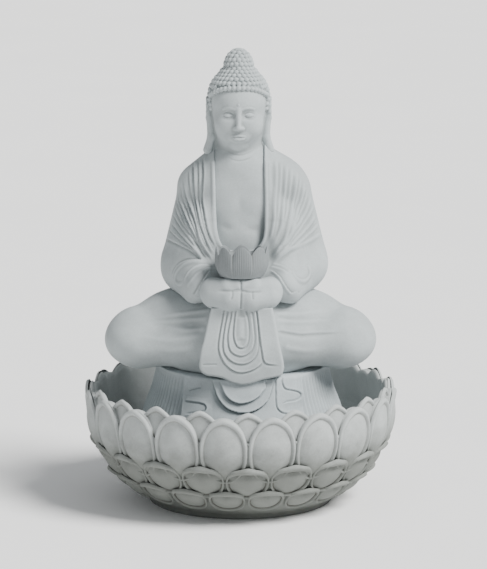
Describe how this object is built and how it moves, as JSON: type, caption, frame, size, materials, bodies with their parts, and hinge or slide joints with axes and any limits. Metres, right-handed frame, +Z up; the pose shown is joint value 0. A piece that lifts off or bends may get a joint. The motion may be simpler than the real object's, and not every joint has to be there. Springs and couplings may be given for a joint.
{
  "type": "buddha statue fountain",
  "caption": "Seated meditating figure in draped robes holding a lotus cup, on a draped pedestal in a lotus-petal water basin, with a pump, hose and riser pipe inside.",
  "frame": {"origin": "centre of the basin's underside, on the ground", "axes": "+Z up, the figure faces -Y"},
  "size_m": [0.8762, 0.8762, 1.2987],
  "materials": {
    "cast_stone": "matte",
    "black_plastic": "satin",
    "rubber": "matte",
    "clear_vinyl": "gloss",
    "steel": "brushed",
    "ceramic": "satin",
    "ferrite": "satin",
    "brass": "satin"
  },
  "bodies": {
    "basin": {"lotus_basin": "cast_stone", "pedestal_pad_1": "rubber", "pedestal_pad_2": "rubber", "pedestal_pad_3": "rubber", "pedestal_pad_4": "rubber", "pump_housing": "black_plastic", "pump_chamber": "black_plastic", "rotor_shaft": "ceramic", "cord_gland": "rubber", "pump_foot_1": "rubber", "pump_foot_2": "rubber", "pump_foot_3": "rubber", "pump_foot_4": "rubber", "riser_hose": "clear_vinyl", "hose_clamp_lower": "steel", "hose_clamp_upper": "steel"},
    "pedestal": {"pedestal": "cast_stone"},
    "figure": {"buddha_figure": "cast_stone", "riser_pipe": "brass"},
    "cup": {"lotus_cup": "cast_stone", "cup_fitting": "black_plastic", "cup_gasket": "rubber", "cup_nut": "black_plastic"},
    "rotor": {"impeller": "black_plastic", "rotor_magnet": "ferrite"},
    "intake": {"pump_cover": "black_plastic"},
    "dial": {"flow_dial": "black_plastic"},
    "stopper": {"drain_stopper": "rubber"}
  },
  "joints": [
    {"name": "pedestal_lift", "type": "slide", "parent": "basin", "child": "pedestal", "axis": [0, 0, 1], "range_m": [0, 0.36]},
    {"name": "figure_lift", "type": "slide", "parent": "pedestal", "child": "figure", "axis": [0, 0, 1], "range_m": [0, 0.3]},
    {"name": "cup_lift", "type": "slide", "parent": "figure", "child": "cup", "axis": [0, 0, 1], "range_m": [0, 0.15]},
    {"name": "rotor_spin", "type": "hinge", "parent": "basin", "child": "rotor", "pos_m": [0, 0, 0.107], "axis": [0, 1, 0], "continuous": true},
    {"name": "intake_pull", "type": "slide", "parent": "basin", "child": "intake", "axis": [0, -1, 0], "range_m": [0, 0.06]},
    {"name": "dial_turn", "type": "hinge", "parent": "intake", "child": "dial", "pos_m": [0, -0.105, 0.107], "axis": [0, -1, 0], "range_deg": [0, 90]},
    {"name": "stopper_pull", "type": "slide", "parent": "basin", "child": "stopper", "axis": [0, 0, 1], "range_m": [0, 0.05]}
  ]
}
